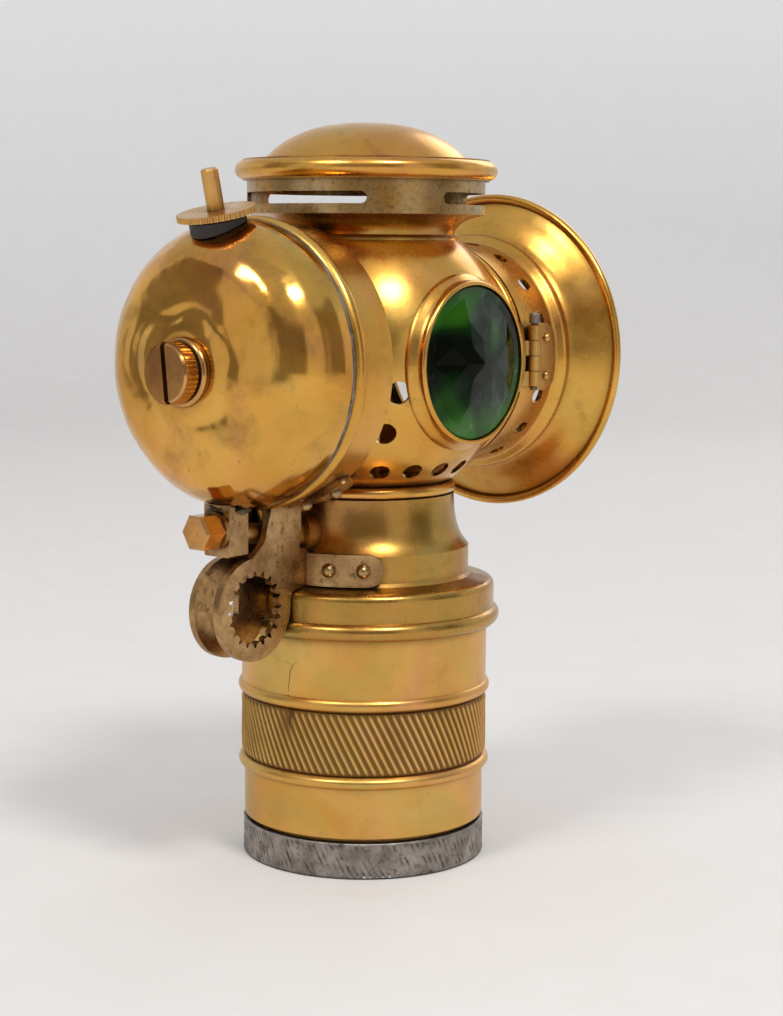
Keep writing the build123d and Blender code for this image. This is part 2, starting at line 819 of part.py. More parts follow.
# ---------------------------------------------------------------- bell door
bell = round_solid(
    [
        (bell_neck_r - wall, -24.45),
        (bell_neck_r, -24.45),
        (bell_neck_r, -35.4),
        (25.5, -36.4),
        (26.3, -37.2),
        (26.5, -38.6),
        (26.1, -39.4),
        (26.9, -40.3),
        (29.6, -42.0),
        (32.6, -44.2),
        (34.9, bell_mouth_y + 0.6),
        (34.3, bell_mouth_y + 0.3),
        (31.9, -44.7),
        (28.9, -42.6),
        (26.0, -40.7),
        (25.2, -39.6),
        (25.5, -38.4),
        (25.3, -37.6),
        (24.6, -36.9),
        (bell_neck_r - wall, -35.9),
    ],
    plane=profile_lamp,
    axis=optical_axis,
    beads=[(bell_rim_r - 0.95, bell_mouth_y + 0.95, 0.95)],
    smooth=[(2, 6), (6, 10), (11, 14), (14, 19)],
)
with BuildPart() as bell_vents:
    for number in range(18):
        turn = radians(10.5 + 20 * number)
        if abs(degrees(turn) - 90.5) < 1:
            continue
        outward = (-sin(turn), 0, cos(turn))
        with BuildSketch(Plane(origin=(0, -31.4, lamp_z), z_dir=outward)):
            Circle(1.7)
        extrude(amount=bell_neck_r + 2)
bell.part = bell.part - bell_vents.part
save(bell, "bell")

with BuildPart() as bell_lens:
    with BuildSketch(Plane.XZ.offset(34.0)):
        with Locations((0, lamp_z)):
            Circle(23.8)
    extrude(amount=1.6)
save(bell_lens, "bell_lens")

lens_ring = round_solid(
    [(22.4, -35.65), (23.9, -35.65), (23.9, -36.6), (22.4, -36.6)],
    plane=profile_lamp,
    axis=optical_axis,
)
save(lens_ring, "lens_ring")

leaf_half = 7.2 / bell_neck_r           # half of the leaf's height as an angle, in radians


def knuckles(numbers):
    """Rolled barrel lengths of the hinge, counted from the bottom."""
    pitch = (hinge_high_z - hinge_low_z) / 4
    with BuildPart() as rolls:
        for number in numbers:
            with BuildSketch(Plane.XY.offset(hinge_low_z + number * pitch + 0.08)):
                with Locations((hinge_x, hinge_y)):
                    Circle(knuckle_r)
                    Circle(hinge_pin_r + 0.05, mode=Mode.SUBTRACT)
            extrude(amount=pitch - 0.16)
    return rolls.part


def hinge_web(numbers, front):
    """The strips that join the knuckles to their leaf, on the bell side or on the body side."""
    pitch = (hinge_high_z - hinge_low_z) / 4
    with BuildPart() as webs:
        for number in numbers:
            low = hinge_low_z + number * pitch + 0.08
            with BuildSketch(Plane.XY.offset(low)):
                with BuildLine():
                    if front:
                        Polyline((-25.9, -28.4), (-25.0, -28.4), (-25.0, -26.2), (-26.2, -26.9), (-25.9, -28.4))
                    else:
                        Polyline((-26.2, -24.6), (-25.3, -24.7), (-25.0, -24.1), (-25.0, -22.0), (-26.2, -24.6))
                make_face()
            extrude(amount=pitch - 0.16)
    bore = Pos(hinge_x, hinge_y, lamp_z) * Cylinder(hinge_pin_r + 0.05, 40)
    return webs.part - bore


with BuildPart() as hinge_leaf_door:
    with BuildSketch(Plane.XZ.offset(28.2)):
        with Locations((0, lamp_z)):
            add(ring_sector(bell_neck_r + seam, bell_neck_r + 1.0,
                            180 - degrees(leaf_half), 180 + degrees(leaf_half)))
    extrude(amount=6.2)
    outer = [e for e in hinge_leaf_door.edges() if abs(e.length - (1.0 - seam)) < 0.05
             and e.center().Y < -34.0]
    fillet(outer, 2.6)
hinge_leaf_door.part = hinge_leaf_door.part + knuckles([1, 3]) + hinge_web([1, 3], front=True)
hinge_leaf_door.part = hinge_leaf_door.part - Pos(0, -29.0, lamp_z) * Cylinder(
    bell_neck_r + seam, 40, rotation=(90, 0, 0))
save(hinge_leaf_door, "hinge_leaf_door")

with BuildPart() as hinge_leaf_body:
    with BuildSketch(Plane.XZ.offset(19.8)):
        with Locations((0, lamp_z)):
            add(ring_sector(25.0, 25.9, 180 - degrees(leaf_half), 180 + degrees(leaf_half)))
    extrude(amount=3.4)
hinge_leaf_body.part = hinge_leaf_body.part + knuckles([0, 2]) + hinge_web([0, 2], front=False)
hinge_leaf_body.part = hinge_leaf_body.part - ball_solid - Pos(0, -21.8, lamp_z) * Cylinder(
    25.0, 8.0, rotation=(90, 0, 0))
save(hinge_leaf_body, "hinge_leaf_body")

with BuildPart() as hinge_pin:
    with BuildSketch(Plane.XY.offset(hinge_low_z - 0.8)):
        with Locations((hinge_x, hinge_y)):
            Circle(hinge_pin_r)
    extrude(amount=hinge_high_z - hinge_low_z + 3.4)
    with BuildSketch(Plane.XY.offset(hinge_high_z + 0.4)):
        with Locations((hinge_x, hinge_y)):
            Circle(1.2)
    extrude(amount=2.2)
    fillet(hinge_pin.edges().group_by(Axis.Z)[-1], 0.4)
save(hinge_pin, "hinge_pin")

with BuildPart() as hinge_rivets:
    for height in (-4.0, 4.0):
        turn = height / bell_neck_r
        outward = (-cos(turn), 0, sin(turn))
        foot = bell_neck_r + 1.0
        with Locations(Location(Plane(
                origin=(outward[0] * foot, -31.2, lamp_z + outward[2] * foot), z_dir=outward))):
            Sphere(1.0, arc_size1=0, align=(Align.CENTER, Align.CENTER, Align.MIN))
save(hinge_rivets, "hinge_rivets")

with BuildPart() as catch_spring:
    with BuildSketch(Plane.XZ.offset(19.8)):
        with Locations((0, lamp_z)):
            add(ring_sector(25.0, 25.9, -8, 8))
    extrude(amount=3.8)
    with BuildSketch(Plane.XZ.offset(23.0)):
        with Locations((0, lamp_z)):
            add(ring_sector(25.4, 26.2, -8, 8))
    extrude(amount=7.2)
    with Locations((26.0, -28.0, lamp_z)):
        Cylinder(0.9, 4, rotation=(0, 90, 0), mode=Mode.SUBTRACT)
catch_spring.part = catch_spring.part - ball_solid
save(catch_spring, "catch_spring")

with BuildPart() as catch_stud:
    with Locations((bell_neck_r + seam, -28.0, lamp_z)):
        Cylinder(0.55, 0.25, rotation=(0, 90, 0), align=(Align.CENTER, Align.CENTER, Align.MIN))
save(catch_stud, "catch_stud")
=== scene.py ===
import math

import bpy
from mathutils import Matrix, Vector, noise


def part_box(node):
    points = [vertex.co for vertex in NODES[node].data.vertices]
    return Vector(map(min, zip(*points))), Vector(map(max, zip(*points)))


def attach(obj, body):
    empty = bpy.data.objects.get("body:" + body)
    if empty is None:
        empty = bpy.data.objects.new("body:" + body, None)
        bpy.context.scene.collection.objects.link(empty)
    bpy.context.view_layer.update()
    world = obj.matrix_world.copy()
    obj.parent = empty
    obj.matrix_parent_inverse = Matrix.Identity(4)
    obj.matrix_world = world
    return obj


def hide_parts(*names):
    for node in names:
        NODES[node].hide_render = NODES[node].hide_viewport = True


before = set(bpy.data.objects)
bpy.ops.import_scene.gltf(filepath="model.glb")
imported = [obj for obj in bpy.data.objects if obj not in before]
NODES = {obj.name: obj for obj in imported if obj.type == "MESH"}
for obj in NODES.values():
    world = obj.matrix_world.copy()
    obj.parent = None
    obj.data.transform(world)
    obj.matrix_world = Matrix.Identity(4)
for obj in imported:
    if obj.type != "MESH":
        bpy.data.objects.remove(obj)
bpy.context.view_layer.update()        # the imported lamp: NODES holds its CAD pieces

MM = 0.001
UP = Vector((0, 0, 1))

# ---------------------------------------------------------------- camera
CAMERA_AZIMUTH = 40.57       # degrees from the rear of the lamp towards the green jewel's side
CAMERA_DISTANCE = 453.15 * MM
CAMERA_HEIGHT = 132.9 * MM
CAMERA_PITCH, CAMERA_YAW, CAMERA_ROLL = 7.22, 0.74, 0.37
CAMERA_LENS = 74.2           # millimetres on a 36 mm wide sensor

TURN = math.radians(CAMERA_AZIMUTH)
TOWARD = Vector((-math.sin(TURN), math.cos(TURN), 0))        # from the lamp towards the camera, level
RIGHT = Vector((-math.cos(TURN), -math.sin(TURN), 0))


def make_camera():
    position = TOWARD * CAMERA_DISTANCE + UP * CAMERA_HEIGHT
    forward, right, up = -TOWARD, RIGHT, UP
    forward, right = (Matrix.Rotation(-math.radians(CAMERA_YAW), 3, up) @ v for v in (forward, right))
    forward, up = (Matrix.Rotation(-math.radians(CAMERA_PITCH), 3, right) @ v for v in (forward, up))
    right, up = (Matrix.Rotation(-math.radians(CAMERA_ROLL), 3, forward) @ v for v in (right, up))
    camera = bpy.data.objects.new("camera", bpy.data.cameras.new("camera"))
    camera.matrix_world = Matrix.Translation(position) @ Matrix((right, up, -forward)).transposed().to_4x4()
    camera.data.lens = CAMERA_LENS
    camera.data.sensor_width = 36
    camera.data.clip_start = 0.01
    bpy.context.scene.collection.objects.link(camera)
    bpy.context.scene.camera = camera


# ---------------------------------------------------------------- material nodes
BRASS_GRIME_AND_SHADE = (0.13, 0.06, 0.018)         # brown of grime in seams and grooves, also used as painted shade there
# near-black grime in corners and grooves of the steel pieces, also used as painted shade there
METAL_GRIME_AND_SHADE = (0.035, 0.024, 0.017)


class Shader:
    """A small builder for one procedural material."""

    def __init__(self, name, **values):
        self.material = bpy.data.materials.new(name)
        self.material.use_nodes = True
        self.tree = self.material.node_tree
        self.surface = self.tree.nodes["Principled BSDF"]
        for socket, value in values.items():
            self.surface.inputs[socket.replace("_", " ")].default_value = value
        self.place = self.add("ShaderNodeTexCoord").outputs["Object"]

    def add(self, kind, **settings):
        node = self.tree.nodes.new(kind)
        for key, value in settings.items():
            if hasattr(node, key):
                setattr(node, key, value)
            else:
                self.put(node.inputs[key.replace("_", " ")], value)
        return node

    def put(self, socket, value):
        if isinstance(value, bpy.types.NodeSocket):
            self.tree.links.new(value, socket)
        else:
            socket.default_value = value

    def set(self, socket, value):
        self.put(self.surface.inputs[socket], value)

    def stretched(self, scale):
        """Object coordinates stretched by a factor along each axis."""
        return self.add("ShaderNodeMapping", Vector=self.place, Scale=scale).outputs[0]

    def noise(self, size, detail=3.0, roughness=0.55, distortion=0.0, place=None):
        """Noise between 0 and 1 with features of about the given size in metres."""
        return self.add(
            "ShaderNodeTexNoise", Vector=place or self.place, Scale=1 / size,
            Detail=detail, Roughness=roughness, Distortion=distortion,
        ).outputs["Fac"]

    def ramp(self, value, *stops):
        """Colour or grey ramp; each stop is (position, grey or colour)."""
        node = self.add("ShaderNodeValToRGB", Fac=value)
        marks = node.color_ramp.elements
        for number, (position, tone) in enumerate(stops):
            mark = marks[number] if number < 2 else marks.new(position)
            mark.position = position
            mark.color = (tone, tone, tone, 1) if isinstance(tone, (int, float)) else (*tone, 1)
        return node.outputs["Color"]

    def mix(self, share, first, second, blend="MIX"):
        node = self.tree.nodes.new("ShaderNodeMix")
        node.data_type = "RGBA"
        node.blend_type = blend
        for index, value in ((0, share), (6, first), (7, second)):
            if isinstance(value, tuple) and len(value) == 3:
                value = (*value, 1)
            self.put(node.inputs[index], value)
        return node.outputs[2]

    def math(self, operation, first, second=0.5):
        node = self.tree.nodes.new("ShaderNodeMath")
        node.operation = operation
        self.put(node.inputs[0], first)
        self.put(node.inputs[1], second)
        return node.outputs[0]

    def radius(self, low, high):
        """0 at the low and 1 at the high distance from the upright axis, in millimetres."""
        flat = self.stretched((1, 1, 0))
        length = self.add("ShaderNodeVectorMath", operation="LENGTH")
        self.put(length.inputs[0], flat)
        node = self.tree.nodes.new("ShaderNodeMapRange")
        for index, value in enumerate((length.outputs["Value"], low * MM, high * MM)):
            self.put(node.inputs[index], value)
        return node.outputs[0]

    def crevice_shade_and_grime(self, reach):
        """Painted shade from ambient occlusion, also marking where grime gathers: 1 deep in corners and
        seams, 0 on open surfaces.
        """
        node = self.add("ShaderNodeAmbientOcclusion", samples=6)
        node.inputs["Distance"].default_value = reach
        return self.ramp(node.outputs["AO"], (0.35, 1.0), (0.9, 0.0))

    def bump(self, *layers):
        """Stacked bump layers, each (height, strength, depth in metres)."""
        normal = None
        for height, strength, depth in layers:
            node = self.add("ShaderNodeBump", Height=height, Strength=strength, Distance=depth)
            if normal is not None:
                self.put(node.inputs["Normal"], normal)
            normal = node.outputs["Normal"]
        self.set("Normal", normal)


def brass(name, light, deep, tarnish, gloss=(0.16, 0.3), wave=0.00005, scratch=0.3, grime_and_shade_strength=0.8, tint=0.2,
          patina=(0.55, 0.74), grooves=None):
    """Old spun brass: two golden tones, tarnish, faint pink and green tints, scratches, brown grime and
    painted shade in corners.

    wave is the depth of the sheet's unevenness in metres, patina the noise levels between which the tarnish
    sets in, and grooves the radii in millimetres between which a knurl goes from painted shade in its grooves
    to clean.
    """
    shader = Shader(name, Metallic=1.0)
    broad = shader.noise(0.022, detail=4, distortion=0.6)
    colour = shader.mix(shader.ramp(broad, (0.35, 0.0), (0.68, 1.0)), light, deep)
    blotch = shader.noise(0.009, detail=6, roughness=0.65, distortion=0.4)
    colour = shader.mix(shader.ramp(blotch, (patina[0], 0.0), (patina[1], 0.7)), colour, tarnish)
    hue = shader.noise(0.03, detail=2, distortion=1.2, place=shader.stretched((1, 1.2, 0.8)))
    pink, gold, green = (0.74, 0.30, 0.16), (0.78, 0.42, 0.08), (0.50, 0.47, 0.12)
    rainbow = shader.ramp(hue, (0.34, pink), (0.5, gold), (0.66, green))
    colour = shader.mix(tint, colour, rainbow)
    speck = shader.noise(0.0011, detail=2)
    colour = shader.mix(shader.ramp(speck, (0.68, 0.0), (0.76, 0.45)), colour, tarnish)
    # painted shade from ambient occlusion in corners, also standing for the brown grime there
    grime_and_shade_mask = shader.math("MULTIPLY", shader.crevice_shade_and_grime(0.002), grime_and_shade_strength)
    if grooves:
        # painted shade in the knurl's grooves: darker the nearer the radius is to the groove bottom
        depth = shader.ramp(shader.radius(*grooves), (0.25, 0.85), (0.8, 0.0))
        grime_and_shade_mask = shader.math("MAXIMUM", grime_and_shade_mask, depth)
    colour = shader.mix(grime_and_shade_mask, colour, BRASS_GRIME_AND_SHADE)
    shader.set("Base Color", colour)
    smear = shader.noise(0.006, detail=5, roughness=0.6)
    rough = shader.ramp(smear, (0.3, gloss[0]), (0.7, gloss[1]))
    shader.set("Roughness", shader.math("ADD", rough, shader.math("MULTIPLY", grime_and_shade_mask, 0.25)))
    upright_lines = shader.noise(0.0011, detail=3, place=shader.stretched((1, 1, 0.06)))
    level_lines = shader.noise(0.0016, detail=3, place=shader.stretched((0.08, 1, 1.3)))
    hairs = shader.math("MINIMUM", upright_lines, level_lines)
    shader.bump(
        (shader.noise(0.011, detail=1), 1.0, wave),
        (shader.ramp(hairs, (0.42, 0.0), (0.5, 1.0)), scratch, 0.000006),
        (shader.noise(0.0005, detail=2), 0.2, 0.000005),
    )
    return shader.material


def worn_metal(name, light, dark, stain, rough=(0.35, 0.6), grain=0.00002, size=0.006, grooves=None):
    """Bare, browned or half-plated metal, pitted, with brighter worn patches, grime and painted shade in the
    corners.
    """
    shader = Shader(name, Metallic=1.0)
    broad = shader.noise(size, detail=6, roughness=0.65)
    colour = shader.mix(shader.ramp(broad, (0.38, 0.0), (0.62, 1.0)), dark, light)
    spots = shader.noise(0.0016, detail=4, roughness=0.7)
    colour = shader.mix(shader.ramp(spots, (0.55, 0.0), (0.68, 0.75)), colour, stain)
    # painted shade from ambient occlusion in corners, also standing for the grime there
    grime_and_shade_mask = shader.math("MULTIPLY", shader.crevice_shade_and_grime(0.0012), 0.85)
    if grooves:
        # painted shade in the knurl's grooves: darker the nearer the radius is to the groove bottom
        depth = shader.ramp(shader.radius(*grooves), (0.2, 0.8), (0.75, 0.0))
        grime_and_shade_mask = shader.math("MAXIMUM", grime_and_shade_mask, depth)
    colour = shader.mix(grime_and_shade_mask, colour, METAL_GRIME_AND_SHADE)
    shader.set("Base Color", colour)
    shader.set("Roughness", shader.ramp(spots, (0.3, rough[0]), (0.7, rough[1])))
    shader.bump(
        (shader.noise(0.0007, detail=4, roughness=0.7), 0.8, grain),
        (shader.noise(0.004, detail=2), 0.6, grain * 2),
    )
    return shader.material


def brass_materials():
    """The brass pieces, from bright polished sheet to brown screws."""
    return {
        "polished": brass(
            "brass_polished", (0.72, 0.40, 0.09), (0.60, 0.27, 0.038), (0.28, 0.135, 0.035),
            gloss=(0.19, 0.33), grime_and_shade_strength=0.95,
        ),
        "cap": brass(
            "brass_cap", (0.46, 0.27, 0.07), (0.34, 0.17, 0.035), (0.16, 0.085, 0.028),
            gloss=(0.2, 0.34), grime_and_shade_strength=0.9,
        ),
        "tank": brass(
            "brass_tank", (0.72, 0.39, 0.085), (0.58, 0.25, 0.034), (0.25, 0.135, 0.04),
            gloss=(0.11, 0.2), wave=0.00008, tint=0.2, grime_and_shade_strength=0.9, patina=(0.48, 0.70),
        ),
        "satin": brass(
            "brass_satin", (0.72, 0.44, 0.14), (0.62, 0.30, 0.062), (0.42, 0.22, 0.07),
            gloss=(0.27, 0.4), wave=0.00002, scratch=0.4, tint=0.3,
        ),
        "grip": brass(
            "brass_grip", (0.88, 0.56, 0.20), (0.76, 0.43, 0.11), (0.46, 0.26, 0.09),
            gloss=(0.26, 0.4), wave=0.00001, tint=0.15, grooves=(26.30, 26.80),
        ),
        "brown": brass(
            "brass_brown", (0.66, 0.40, 0.13), (0.50, 0.26, 0.065), (0.24, 0.12, 0.038),
            gloss=(0.22, 0.42), wave=0.00002, grime_and_shade_strength=0.95, tint=0.1,
        ),
        "copper": brass(
            "brass_coppery", (0.62, 0.32, 0.11), (0.44, 0.19, 0.06), (0.22, 0.10, 0.04),
            gloss=(0.10, 0.24), wave=0.00002, grime_and_shade_strength=0.9, tint=0.05,
        ),
    }


def metal_materials():
    """The nickelled band, the browned bracket, the steel base, solder and the dirt in the crack."""
    return {
        "nickel": worn_metal(
            "half_worn_nickel", (0.46, 0.33, 0.17), (0.42, 0.23, 0.06), (0.15, 0.085, 0.03),
            rough=(0.2, 0.4), size=0.012,
        ),
        "bracket": worn_metal(
            "browned_steel", (0.54, 0.34, 0.15), (0.30, 0.165, 0.07), (0.14, 0.075, 0.035),
            rough=(0.22, 0.42), size=0.009,
        ),
        "base": worn_metal(
            "knurled_steel", (0.42, 0.38, 0.345), (0.22, 0.195, 0.175), (0.085, 0.073, 0.063),
            rough=(0.32, 0.6), grain=0.00009, grooves=(26.10, 26.40),
        ),
        "solder": worn_metal(
            "old_solder", (0.34, 0.30, 0.26), (0.13, 0.11, 0.09), (0.05, 0.042, 0.036),
            rough=(0.35, 0.65), grain=0.00006,
        ),
        "crack": worn_metal(
            "crack_dirt", (0.10, 0.06, 0.03), (0.05, 0.03, 0.015), (0.02, 0.012, 0.008),
            rough=(0.5, 0.8),
        ),
    }


def black_rubber():
    shader = Shader("black_rubber", Roughness=0.55)
    grime = shader.noise(0.0025, detail=5)
    shader.set("Base Color", shader.ramp(grime, (0.35, (0.010, 0.009, 0.008)), (0.7, (0.045, 0.035, 0.028))))
    shader.set("Roughness", shader.ramp(grime, (0.3, 0.4), (0.7, 0.75)))
    shader.bump((shader.noise(0.0012, detail=4), 0.6, 0.00004))
    return shader.material


def jewel_glass(name, deep, middle, pale):
    """Thick coloured glass: nearly black, with one clear patch of colour."""
    shader = Shader(name, Roughness=0.02, IOR=1.3, Specular_IOR_Level=0.15, Transmission_Weight=0.03)
    patch = shader.noise(0.014, detail=1, distortion=0.4)
    shader.set("Base Color", shader.ramp(patch, (0.4, deep), (0.52, middle), (0.68, pale)))
    shader.set("Roughness", shader.ramp(shader.noise(0.003, detail=5), (0.4, 0.015), (0.75, 0.07)))
    return shader.material


def clear_glass():
    shader = Shader("clear_glass", Roughness=0.02, IOR=1.5, Transmission_Weight=1.0)
    tone = shader.noise(0.02)
    shader.set("Base Color", shader.ramp(tone, (0.3, (0.93, 0.97, 0.95)), (0.7, (0.98, 0.99, 0.98))))
    shader.set("Roughness", shader.ramp(shader.noise(0.004, detail=6), (0.45, 0.01), (0.8, 0.06)))
    return shader.material


def silvered():
    """The reflector's silvering, gone brown in places."""
    shader = Shader("silvered", Metallic=1.0)
    tone = shader.noise(0.006, detail=6)
    shader.set("Base Color", shader.ramp(tone, (0.4, (0.80, 0.79, 0.76)), (0.75, (0.42, 0.36, 0.27))))
    shader.set("Roughness", shader.ramp(tone, (0.3, 0.06), (0.75, 0.4)))
    return shader.material


def burner_stone():
    shader = Shader("burner_stone", Roughness=0.8)
    tone = shader.noise(0.002, detail=5)
    shader.set("Base Color", shader.ramp(tone, (0.3, (0.50, 0.45, 0.36)), (0.7, (0.68, 0.63, 0.53))))
    shader.bump((shader.noise(0.0006), 0.5, 0.00004))
    return shader.material


def make_materials():
    return {
        **brass_materials(),
        **metal_materials(),
        "rubber": black_rubber(),
        "green": jewel_glass(
            "green_glass", (0.001, 0.002, 0.001), (0.003, 0.016, 0.002), (0.022, 0.11, 0.006)),
        "red": jewel_glass(
            "red_glass", (0.006, 0.002, 0.002), (0.03, 0.002, 0.002), (0.15, 0.006, 0.005)),
        "lens": clear_glass(),
        "mirror": silvered(),
        "stone": burner_stone(),
    }


# ---------------------------------------------------------------- mesh helpers
LAMP_AXIS_Z = (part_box("bell")[0].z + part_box("bell")[1].z) / 2
UPRIGHT = Matrix.Identity(4)


def lying(axis_x, axis_y, axis_z, origin):
    """A frame whose turning axis (its local z) lies along a row axis through origin."""
    return Matrix.Translation(origin) @ Matrix((axis_x, axis_y, axis_z)).transposed().to_4x4()


ALONG_Y = lying((1, 0, 0), (0, 0, -1), (0, 1, 0), (0, 0, LAMP_AXIS_Z))


def new_piece(name, verts, faces, material, smooth=True, sharp=30):
    """A mesh object; edges turning by more than sharp degrees stay crisp."""
    mesh = bpy.data.meshes.new(name)
    mesh.from_pydata([tuple(v) for v in verts], [], faces)
    mesh.validate()
    mesh.polygons.foreach_set("use_smooth", [smooth] * len(mesh.polygons))
    if smooth:
        mesh.set_sharp_from_angle(angle=math.radians(sharp))
    mesh.materials.append(material)
    piece = bpy.data.objects.new(name, mesh)
    bpy.context.scene.collection.objects.link(piece)
    return piece


def lathe(name, profile, steps, material, place=UPRIGHT, shape=None, closed=True, sharp=30):
    """Turns an outline of (radius, height) in millimetres. shape(turn, radius, height) may move a point."""
    verts, faces = [], []
    count = len(profile)
    for step in range(steps):
        turn = 2 * math.pi * step / steps
        for radius, height in profile:
            if shape:
                radius, height = shape(turn, radius, height)
            spot = Vector((radius * math.cos(turn) * MM, radius * math.sin(turn) * MM, height * MM))
            verts.append(place @ spot)
    for step in range(steps):
        here, there = step * count, (step + 1) % steps * count
        for i in range(count if closed else count - 1):
            j = (i + 1) % count
            faces.append((here + i, there + i, there + j, here + j))
    return new_piece(name, verts, faces, material, sharp=sharp)


def smooth_nodes():
    """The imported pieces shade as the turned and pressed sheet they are."""
    for node in NODES.values():
        mesh = node.data
        if "custom_normal" in mesh.attributes:
            mesh.attributes.remove(mesh.attributes["custom_normal"])
        mesh.polygons.foreach_set("use_smooth", [True] * len(mesh.polygons))
        mesh.set_sharp_from_angle(angle=math.radians(28))


def soften_edges(names, width, angle=40):
    """Small rounded edges on stamped, filed and milled pieces."""
    for name in names:
        node = NODES[name]
        bevel = node.modifiers.new("edge", "BEVEL")
        bevel.width = width
        bevel.segments = 2
        bevel.limit_method = "ANGLE"
        bevel.angle_limit = math.radians(angle)
        bevel.harden_normals = True


def paint(material, *names):
    for name in names:
        slots = NODES[name].data.materials
        slots.clear()
        slots.append(material)


# ---------------------------------------------------------------- detailed pieces
# dents in the rear of the tank: place across and up from the bell's axis, half sizes, depth, in millimetres
DENTS = (
    (-15.5, 8.0, 4.0, 9.0, 0.75),
    (-20.5, 2.0, 3.0, 8.0, 0.55),
    (-14.0, -9.0, 5.0, 4.5, 0.60),
    (2.0, -17.0, 11.0, 4.0, 0.65),
    (9.0, 14.0, 6.0, 4.0, 0.35),
    (14.0, -4.0, 4.0, 8.0, 0.30),
)


def hump(offset, width):
    """A smooth hill: 1 at no offset, falling to nothing a couple of widths away."""
    return math.exp(-(offset / width) ** 2)


def smoothed(outline, parts=8, passes=5):
    """An outline of (radius, height) cut finer and rounded by averaging neighbours."""
    points = []
    for (r0, y0), (r1, y1) in zip(outline, outline[1:]):
        points += [(r0 + (r1 - r0) * i / parts, y0 + (y1 - y0) * i / parts) for i in range(parts)]
    points.append(outline[-1])
    for _ in range(passes):
        middle = [
            tuple((a + 2 * b + c) / 4 for a, b, c in zip(*three))
            for three in zip(points, points[1:], points[2:])
        ]
        points = [points[0], *middle, points[-1]]
    return points


def grip_band(material):
    """Diagonal thin ridges rolled into the band between the chamber's two beads."""
    low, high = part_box("grip_band")
    outer, bottom, top = high.x / MM, low.z / MM, high.z / MM
    ridges, lean, rows = 101, math.tan(math.radians(27)), 26
    groove_depth, ridge_height, wall = 0.62, 0.6, 0.95
    worn_turn, worn_height = 93.0, top - 2.5          # where the crack crosses the band

    def ridge(turn, radius, height):
        if radius <= outer - wall:
            return radius, height
        edge = min(height - bottom, top - height)
        phase = ridges * (turn + lean / outer * height) / (2 * math.pi)
        across = abs(phase % 1.0 - 0.5) * 2
        lift = max(0.0, (across - 0.35) / 0.65) ** 1.3
        wear = 0.85 + 0.15 * noise.noise((math.cos(turn) * 3, math.sin(turn) * 3, height * 0.2))
        wear *= 1 - 0.8 * hump(math.degrees(turn) - worn_turn, 5.0) * hump(height - worn_height, 3.5)
        fade = min(1.0, max(edge - 0.25, 0.0) / 0.6)
        return outer - groove_depth + ridge_height * lift * wear * fade, height

    inner = outer - wall
    profile = [(inner, bottom)] + [(outer, bottom + (top - bottom) * i / rows) for i in range(rows + 1)]
    profile.append((inner, top))
    piece = lathe("grip_band_knurled", profile, ridges * 10, material, shape=ridge, sharp=180)
    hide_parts("grip_band")
    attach(piece, "chamber")


def base_cap(material):
    """Steel cap with a worn diagonal knurl and rounded edges."""
    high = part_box("base_cap")[1]
    outer, top = high.x / MM, high.z / MM
    bore, floor = 25.12, 1.4
    ridges, lean, rows = 124, math.tan(math.radians(27)), 16
    groove_depth = 0.34

    def knurl(turn, radius, height):
        if radius < outer - 0.05 or height < 0.5 or height > top - 0.45:
            return radius, height
        phase = ridges * (turn + lean / outer * height) / (2 * math.pi)
        across = abs(phase % 1.0 - 0.5) * 2
        wear = 0.55 + 0.75 * noise.noise((math.cos(turn) * 9, math.sin(turn) * 9, height * 0.5))
        pits = 0.05 * noise.noise((math.cos(turn) * 60, math.sin(turn) * 60, height * 2.3))
        return radius - groove_depth * max(0.15, wear) * (1 - across) + pits - 0.06, height

    profile = [(0.0, 0.12), (outer - 2.0, 0.12), (outer - 1.6, 0.0), (outer - 0.5, 0.0), (outer - 0.12, 0.14)]
    profile += [(outer, 0.42 + (top - 0.84) * i / rows) for i in range(rows + 1)]
    profile += [(outer - 0.12, top - 0.14), (outer - 0.45, top), (bore, top), (bore, floor), (0.0, floor)]
    piece = lathe("base_cap_knurled", profile, ridges * 8, material, shape=knurl, closed=False, sharp=50)
    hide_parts("base_cap")
    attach(piece, "base")


def tank_dome(material):
    """The spun rear of the tank, dented and wavy where it was knocked and soldered."""
    low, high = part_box("tank_dome")
    front, rear = low.y / MM, high.y / MM
    boss_bore = 4.7
    outline = [(29.2, front), (29.3, 40.2), (29.0, 42.8), (28.1, 45.6), (26.5, 48.4), (24.1, 51.2),
               (20.9, 53.4), (16.8, 54.45), (12.0, 54.95), (8.0, 55.12), (boss_bore, rear)]
    outer = smoothed(outline)
    inner = [(max(r - 0.7, boss_bore), y - 0.75) for r, y in reversed(outer[2:])] + [(28.4, front)]

    def dent(turn, radius, height):
        across, up = radius * math.cos(turn), -radius * math.sin(turn)
        wander = noise.noise((math.cos(turn) * 1.3, math.sin(turn) * 1.3, 4.2))
        ring = 12.5 + 3.2 * wander
        depth = 0.55 * hump(radius - ring, 1.6) * (0.5 + 0.8 * abs(wander))
        depth += 0.30 * hump(radius - ring - 3.2, 1.8) * max(0.0, wander + 0.3)
        for side, high_up, wide, tall, deep in DENTS:
            depth += deep * hump(across - side, wide) * hump(up - high_up, tall)
        depth += 0.10 * (1 + noise.noise((across * 0.16, up * 0.16, 1.7)))
        depth += 0.035 * (1 + noise.noise((across * 0.5, up * 0.5, 8.7)))
        keep = min(1.0, max(0.0, (height - front - 1.5) / 5.0)) * min(1.0, max(0.0, (radius - 7.4) / 2.0))
        return radius - depth * keep * 0.35, height - depth * keep * 0.9

    piece = lathe("tank_dome_dented", outer + inner, 240, material, place=ALONG_Y, shape=dent, sharp=60)
    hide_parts("tank_dome")
    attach(piece, "lamp_body")


